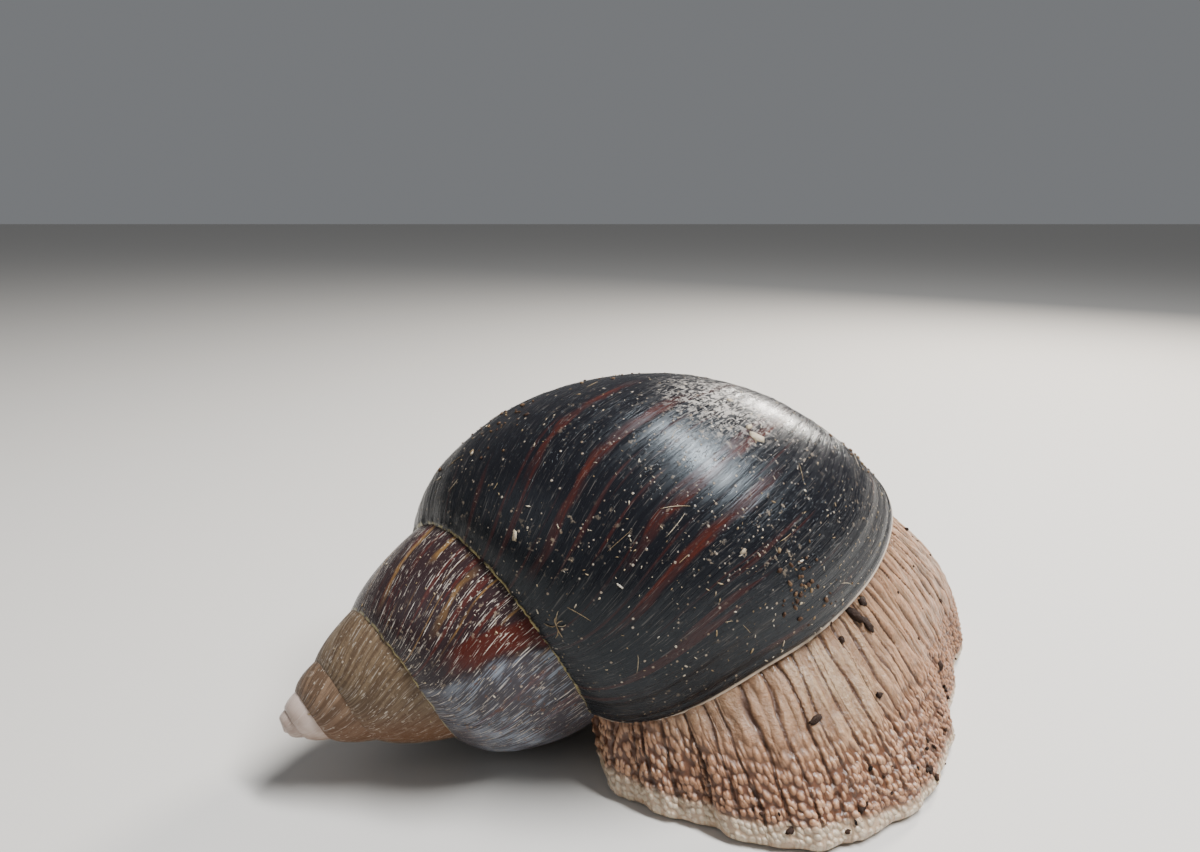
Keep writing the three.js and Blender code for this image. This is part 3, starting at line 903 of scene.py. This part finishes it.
def wrinkles(n, lie, part, rest):
    """Wrinkle pattern: round beads, radial furrows and fine folds on the foot, pebbles ahead."""
    arc, run, _ = n.split(lie)
    head, stalk, collar = (n.math("MINIMUM", n.times(p, 2.0), 1.0) for p in n.split(part))
    stalk = n.math("MAXIMUM", stalk, collar)
    ahead = n.math("MAXIMUM", head, stalk)
    foot_part = n.less(1.0, ahead)
    run = n.math("MAXIMUM", run, 0.0)
    drift = n.noise(n.spot(n.times(arc, 0.13), n.times(run, 0.06), 2.0), 1.0, 2, 0.5)
    arc = n.sum(arc, n.times(drift, 2.4))
    # Beads on the foot, drawn out to ridges near the lip.
    near_lip = n.span(run, 9.0, 22.0)
    beads = n.cells(n.spot(n.times(arc, 0.98), shrunk(n, run, 14, 13.5)), 1.0, 0.8, "2D")
    ridges = n.spot(n.times(arc, 0.44), n.times(run, 0.20))
    ridges = n.cells(ridges, 1.0, 0.85, "2D", "SMOOTH_F1")
    bead = n.span(blend(n, near_lip, beads["Distance"], ridges["Distance"]), 0.66, 0.10)
    # Pebbles on the head, and finer grit on the feelers.
    x, y, z = n.split(rest)
    behind = shrunk(n, n.math("MAXIMUM", n.less(64.0, y), 0.0), 12, 11.5)
    pebble = n.spot(n.times(x, 0.80), behind, n.times(z, 0.80))
    pebble = n.cells(pebble, 1.0, 0.8, feature="DISTANCE_TO_EDGE")["Distance"]
    grit = n.cells(rest, 1.15, 1.0, feature="DISTANCE_TO_EDGE")["Distance"]
    bead = blend(n, ahead, bead, n.span(blend(n, stalk, pebble, grit), 0.0, 0.26))
    # Deep furrows and fine folds that run out from the lip.
    bend = n.noise(n.spot(n.times(arc, 0.20), n.times(run, 0.07), 9.0), 1.0, 2, 0.5)
    main, small = (
        n.cells(n.sum(n.times(arc, close), n.times(bend, sway)), 1.0, loose, "1D",
                "DISTANCE_TO_EDGE")["Distance"]
        for close, sway, loose in ((0.23, 0.9, 0.85), (0.42, 3.0, 0.9))
    )
    furrow = n.math("MAXIMUM", n.span(main, 0.02, 0.14), ahead)
    fold = n.math("MAXIMUM", n.span(small, 0.0, 0.20), ahead)
    return bead, furrow, fold, near_lip, n.span(run, 0.8, 3.6), foot_part, stalk


relief = bpy.data.node_groups.new("raise the wrinkles", "GeometryNodeTree")
relief.interface.new_socket("Geometry", in_out="INPUT", socket_type="NodeSocketGeometry")
relief.interface.new_socket("Geometry", in_out="OUTPUT", socket_type="NodeSocketGeometry")
n = Nodes(relief)
fields = [
    n.add("GeometryNodeInputNamedAttribute", {0: name}, data_type="FLOAT_VECTOR").outputs[0]
    for name in ("lie", "part", "rest")
]
bead, furrow, fold, near_lip, edge, foot_part, stalk_part = wrinkles(n, *fields)
normal = n.add("GeometryNodeInputNormal").outputs[0]
upward = n.span(n.split(normal)[2], -0.5, -0.1)
lip_side = n.times(near_lip, foot_part)
height = n.sum(
    n.times(bead, n.span(lip_side, 0.0, 1.0, 0.50, 0.26)),
    n.times(furrow, n.span(lip_side, 0.0, 1.0, 0.42, 0.50)),
    n.times(fold, n.span(lip_side, 0.0, 1.0, 0.10, 0.14)))
calm = n.sum(n.times(foot_part, n.span(edge, 0.0, 1.0, 0.28, 1.0)), n.less(1.0, foot_part))
calm = n.times(calm, n.span(stalk_part, 0.0, 1.0, 1.0, 0.3))
height = n.times(n.less(height, 0.5), calm, upward, MM)
offset = n.add("ShaderNodeVectorMath", {0: normal, "Scale": height}, operation="SCALE").outputs[0]
moved = n.add("GeometryNodeSetPosition", {
    "Geometry": n.add("NodeGroupInput").outputs[0], "Offset": offset})
n.add("NodeGroupOutput", {0: moved.outputs[0]})
raised = skin.modifiers.new("wrinkles", "NODES")
raised.node_group = relief
body = settle(skin)
spots = numbers(body.vertices, "co")
spots[:, 2] = np.maximum(spots[:, 2], 0.0)
body.vertices.foreach_set("co", spots.ravel())
body.update()
body.shade_smooth()
skin.vertex_groups.clear()
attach(skin, "root")
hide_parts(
    "mantle_collar", "tail", "foot", "neck", "head", "tentacle_upper_left",
    "tentacle_upper_right", "tentacle_lower_left", "tentacle_lower_right", "mouth_palp_left",
    "mouth_palp_right",
)

hide, n, surface, place = new_material("wet skin")
lie, part, rest = (n.mark(name) for name in ("lie", "part", "rest"))
run = n.split(lie)[1]
bead, furrow, fold, near_lip, _, foot_part, stalk_part = wrinkles(n, lie, part, rest)
patch = n.noise(place, 55.0, 3, 0.5)
pore = n.noise(place, 1500.0, 2, 0.5)
crinkle = n.noise(rest, 1.1, 4, 0.65)
east = n.split(place)[0]
# Warm brown over the beads, paler on the ridges near the lip, and darker on the head.
warm = n.mix(n.span(patch, 0.35, 0.65), (0.50, 0.285, 0.165), (0.34, 0.172, 0.090))
pale = n.mix(n.span(patch, 0.3, 0.7), (0.42, 0.285, 0.17), (0.33, 0.185, 0.10))
warm = n.mix(n.times(n.less(1.0, foot_part), 0.45), warm, (0.20, 0.105, 0.062))
ridge_part = n.times(near_lip, foot_part)
pale_part = n.times(
    ridge_part, n.span(east, 0.042, 0.026), n.span(east, -0.014, 0.002, 0.3, 1.0))
# Painted shade: deep is the dark brown laid into the hollows between the beads and the ridges.
deep = n.mix(ridge_part, (0.115, 0.046, 0.022), (0.25, 0.14, 0.075))
# Painted shade in the fine creases near the lip, in the same dark brown as the hollows.
painted_crease_shade = n.times(n.span(crinkle, 0.56, 0.40), n.span(near_lip, 0.0, 1.0, 0.1, 0.55))
# The pale margin of the foot is wider towards the spire, with painted shade between its beads.
margin_color_and_shade = n.mix(n.span(bead, 0.1, 0.6), (0.40, 0.28, 0.185), (0.54, 0.43, 0.31))
margin = n.span(n.less(run, n.times(n.span(east, 0.036, 0.020), 1.6)), 2.3, 0.7)
color = n.paint(
    n.mix(n.span(bead, 0.12, 0.62), deep, n.mix(pale_part, warm, pale)),
    (painted_crease_shade, deep),
    # Painted shade: the folds and the deep furrows are coloured dark where they sink into the skin.
    (n.span(fold, 0.0, 0.9, 0.30, 0.0), (0.14, 0.064, 0.034)),
    (n.span(furrow, 0.0, 0.95, 0.92, 0.0), (0.070, 0.029, 0.015)),
    (n.times(margin, foot_part), margin_color_and_shade),
    (n.times(stalk_part, 0.6), (0.30, 0.17, 0.10)),
)
grain = n.sum(
    n.times(bead, 0.9), n.times(furrow, 0.5), n.times(fold, 0.35), n.times(pore, 0.12),
    n.times(crinkle, n.span(near_lip, 0.0, 1.0, 0.5, 1.7)))
n.fill(surface, {
    "Base Color": color,
    "Roughness": n.span(n.sum(patch, n.times(pore, 0.3)), 0.4, 0.9, 0.28, 0.50),
    "Normal": n.bump(0.8, 0.00035, grain),
    "Subsurface Weight": 0.18,
    "Subsurface Radius": (0.0012, 0.0006, 0.0003),
    "Subsurface Scale": 1.0,
    "Coat Weight": 0.16,
    "Coat Roughness": 0.12,
})
body.materials.clear()
body.materials.append(hide)

# ---- eyes
# Each long feeler carries a small black eye sunk in the tip of its bulb. It is a hard glossy
# bead, a little flattened behind, and only its front half shows.
EYE = 1.15
black, n, surface, place = new_material("eye")
n.fill(surface, {
    "Base Color": n.mix(n.noise(place, 1500.0, 2, 0.5), (0.004, 0.004, 0.006), (0.02, 0.016, 0.016)),
    "Roughness": 0.08,
    "Coat Weight": 0.8,
    "Coat Roughness": 0.03,
})
for side, name in ((-1, "left"), (1, "right")):
    lean = Vector(upper_lean(side)).normalized()
    middle = Vector(at_side(UPPER_BASE, side)) + Vector(CENTRE) + lean * UPPER_LENGTH * 1.02
    shape = bmesh.new()
    bmesh.ops.create_uvsphere(shape, u_segments=32, v_segments=20, radius=EYE * MM)
    for vert in shape.verts:
        if vert.co.z < 0:
            vert.co.z *= 0.8
    turned = Matrix.Translation(middle * MM) @ lean.to_track_quat("Z", "Y").to_matrix().to_4x4()
    bmesh.ops.transform(shape, matrix=turned, verts=shape.verts)
    mesh = mesh_of(shape, "eye_" + name)
    mesh.shade_smooth()
    mesh.materials.append(black)
    eye = add_object("eye_bead_" + name, mesh)
    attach(eye, "root")
    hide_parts("eye_" + name)

# ---- soil, flecks and fibres
# What clings to a snail that lives on damp soil: pale flecks and flakes on the shell, brown
# lumps near the opening and on the ridge, hairs of plant fibre, and dark crumbs on the wet skin.
# Each bit is pressed a little way into the surface it sits on.
rng = np.random.default_rng(23)
earth, n, surface, place = new_material("soil and fibre")
shade = n.add("ShaderNodeAttribute", attribute_name="shade").outputs["Fac"]
mottle = n.times(n.less(n.noise(place, 1400.0), 0.5), 0.35)
n.fill(surface, {
    "Base Color": n.ramp(n.sum(shade, mottle), [
        (0.0, (0.012, 0.007, 0.005)), (0.3, (0.050, 0.024, 0.014)), (0.5, (0.14, 0.080, 0.042)),
        (0.7, (0.34, 0.25, 0.14)), (1.0, (0.62, 0.56, 0.46)),
    ]),
    "Roughness": 0.7,
    "Specular IOR Level": 0.2,
    "Normal": n.bump(0.9, 0.0005, n.noise(place, 1500.0, 4, 0.65)),
})


def scatter(piece, count, weight):
    """Places on a piece's surface with their normals; `weight` favours some of them."""
    mesh = piece.data
    mesh.calc_loop_triangles()
    tris = numbers(mesh.loop_triangles, "vertices", 3, int)
    spots = numbers(mesh.vertices, "co")
    a, b, c = (spots[tris[:, k]] for k in range(3))
    normal = np.cross(b - a, c - a)
    area = np.linalg.norm(normal, axis=1)
    middle = (a + b + c) / 3
    normal = normal / np.maximum(area, 1e-20)[:, None]
    share = area * weight(middle / MM, normal)
    chosen = rng.choice(len(tris), count, p=share / share.sum())
    return list(zip(middle[chosen], normal[chosen]))


def crumb(shape, place, normal, size, flat, long, tone, rounds=1, rough=0.28):
    """A lump `size` millimetres across, sunk into the surface."""
    turned = Vector(normal).to_track_quat("Z", "Y").to_matrix().to_4x4()
    spin = Matrix.Rotation(rng.uniform(0, tau), 4, "Z")
    scale = Matrix.Diagonal(Vector((size * long / 2, size / 2 / long, size * flat / 2)) * MM)
    base = Vector(place) + Vector(normal) * size * flat * 0.2 * MM
    put_there = Matrix.Translation(base) @ turned @ spin @ scale.to_4x4()
    made = bmesh.ops.create_icosphere(shape, subdivisions=rounds, radius=1, matrix=put_there)
    layer = shape.verts.layers.float["shade"]
    push = rng.uniform(1 - rough, 1 + rough, len(made["verts"]))
    for vert, part in zip(made["verts"], push):
        vert.co = base + (vert.co - base) * part
        vert[layer] = tone


def fibre(shape, tree, place, heading, length, bend, thick, tone, free=0.0):
    """A hair lying on the surface; `free` lifts its far end, in millimetres."""
    at, way = Vector(place), Vector(heading).normalized()
    steps, sides = 9, 5
    centres, ups, ways = [], [], []
    for step in range(steps):
        near, normal, _, _ = tree.find_nearest(at)
        way = (way - normal * way.dot(normal)).normalized()
        lift = thick * 0.5 + free * (step / (steps - 1)) ** 2
        centres.append(near + normal * lift * MM)
        ups.append(normal)
        ways.append(way.copy())
        way = Matrix.Rotation(bend / steps, 3, normal) @ way
        at = near + way * (length / steps * MM)
    made = bmesh.ops.create_grid(shape, x_segments=steps - 1, y_segments=sides, size=0.5)
    layer = shape.verts.layers.float["shade"]
    for vert in made["verts"]:
        step = round((vert.co.x + 0.5) * (steps - 1))
        angle = tau * (round((vert.co.y + 0.5) * sides) % sides) / sides
        thin = thick * MM / 2 * (1 - 0.7 * abs(2 * step / (steps - 1) - 1) ** 3)
        across = ups[step].cross(ways[step])
        vert.co = centres[step] + ups[step] * thin * sin(angle) + across * thin * cos(angle)
        vert[layer] = tone
    bmesh.ops.remove_doubles(shape, verts=made["verts"], dist=1e-7)


def finish_bits(name, shape):
    close_up(shape)
    mesh = mesh_of(shape, name)
    mesh.shade_smooth()
    mesh.materials.append(earth)
    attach(add_object(name, mesh), "root")


def new_bits():
    shape = bmesh.new()
    shape.verts.layers.float.new("shade")
    return shape


skin_tree = BVHTree.FromObject(skin, bpy.context.evaluated_depsgraph_get())


def outside(tree, place, normal):
    """Whether a place on one surface lies clear of the piece behind the tree."""
    near, facing, _, far = tree.find_nearest(Vector(place) + Vector(normal) * 0.4 * MM)
    return (Vector(place) - near).dot(facing) > 0 or far > 12 * MM


def on_shell(middle, normal):
    """More towards the opening and low on the flank, little underneath."""
    x, y, z = middle.T
    flank = np.exp(-(((x - 12) / 34) ** 2) - ((z - 34) / 22) ** 2)
    return (0.25 + 2.2 * flank * (y < 5)) * np.clip(normal[:, 2] + 0.75, 0.05, 1)


def on_spire(middle, normal):
    """Most on top."""
    return np.clip(normal[:, 2] + 0.9, 0.1, 1)


# Pale flecks and hairs on the shell.
bits = new_bits()
for place, normal in scatter(body_whorl, 820, on_shell):
    if outside(skin_tree, place, normal):
        size = 0.24 * np.exp(rng.normal(0, 0.45))
        crumb(bits, place, normal, size, 0.4, rng.uniform(1.0, 2.3), rng.uniform(0.60, 1.0))
for place, normal in scatter(spire, 170, on_spire):
    if outside(shell_tree, place, normal):
        crumb(bits, place, normal, rng.uniform(0.2, 0.5), 0.4, 1.4, rng.uniform(0.6, 0.95))
for place, size in (
    ((10.7, -35.9, 58.4), 2.3), ((-28.4, -47.8, 45.8), 1.6), ((7.1, -28.9, 63.1), 1.3),
    ((9.5, -34.4, 59.6), 1.2), ((-37.2, -31.1, 54.4), 1.1), ((7, -49.4, 43.7), 1.0),
):
    near, normal, _, _ = shell_tree.find_nearest(Vector(place) * MM)
    crumb(bits, near, normal, size, 0.12, 1.35, 0.82, rough=0.45)
for place, normal in scatter(body_whorl, 56, on_shell):
    if outside(skin_tree, place, normal) and place[2] > 15 * MM:
        heading = np.array([0.5, 0.35, 0.6]) + rng.normal(size=3) * 0.7
        fibre(bits, shell_tree, place, heading, rng.uniform(1.0, 2.6) ** 1.8, rng.uniform(-0.6, 0.6),
              rng.uniform(0.07, 0.12), rng.uniform(0.62, 0.90))
for _ in range(7):
    fibre(bits, shell_tree, Vector((-21.9, -52.6, 32.9)) * MM, rng.normal(size=3),
          rng.uniform(1.5, 3.5), rng.uniform(-2, 2), 0.15, rng.uniform(0.6, 0.8), rng.uniform(0, 0.8))
finish_bits("shell_flecks", bits)

# Brown lumps: three groups behind the lip, and two along the ridge.
bits = new_bits()
for middle, spread, count, low, high in (
    ((16.7, -46.6, 36.0), 5.0, 46, 0.3, 1.0), ((32.1, -19.6, 50.6), 5.5, 34, 0.3, 0.9),
    ((-34.0, -25.0, 58.0), 10.0, 46, 0.25, 0.8), ((-14.0, -14.0, 65.0), 9.0, 26, 0.25, 0.7),
    ((24.0, -42.0, 30.0), 9.0, 30, 0.25, 0.7),
):
    for _ in range(count):
        spot = (np.array(middle) + rng.normal(0, spread / 2, 3)) * MM
        near, normal, _, _ = shell_tree.find_nearest(Vector(spot))
        if outside(skin_tree, near, normal):
            crumb(bits, near, normal, rng.uniform(low, high), 0.6, rng.uniform(1, 1.5),
                  rng.uniform(0.25, 0.62))
finish_bits("shell_soil", bits)


def on_foot(middle, normal):
    """Near the edge of the foot, clear of the floor and mostly on the right."""
    x, y, z = middle.T
    edge = np.exp(-((z - 4) / 5) ** 2)
    return (z > 1.6) * (normal[:, 2] > 0.15) * (0.12 + edge) * (y < 30) * (0.25 + (x > 20))


# Dark crumbs on the skin.
bits = new_bits()
for place, normal in scatter(skin, 85, on_foot):
    if outside(shell_tree, place, normal):
        size = 0.55 * np.exp(rng.normal(0, 0.4))
        crumb(bits, place, normal, size, 0.75, rng.uniform(1, 1.5), rng.uniform(0.0, 0.3), 2, 0.36)
for place, size, long in (
    ((30.4, -34.5, 28.1), 1.9, 1.2), ((30.8, -37.0, 25.0), 2.1, 1.3), ((28.5, -36.8, 26.8), 2.3, 1.6),
    ((25.5, -41.4, 24.5), 1.2, 1.3), ((19.0, -52.2, 16.2), 1.7, 1.7), ((49.3, -25.0, 10.7), 1.6, 1.2),
    ((50.5, -25.7, 5.8), 1.5, 1.2), ((39.9, -48.0, 4.1), 1.3, 1.3), ((25.0, -59.2, 5.0), 1.3, 1.6),
    ((13.7, -62.0, 3.6), 1.3, 1.2), ((31.3, -45.4, 16.6), 1.2, 1.2), ((46.0, -9.4, 31.9), 1.3, 1.5),
):
    near, normal, _, _ = skin_tree.find_nearest(Vector(place) * MM)
    crumb(bits, near, normal, size, 0.6, long, 0.12, 2, 0.36)
finish_bits("skin_crumbs", bits)
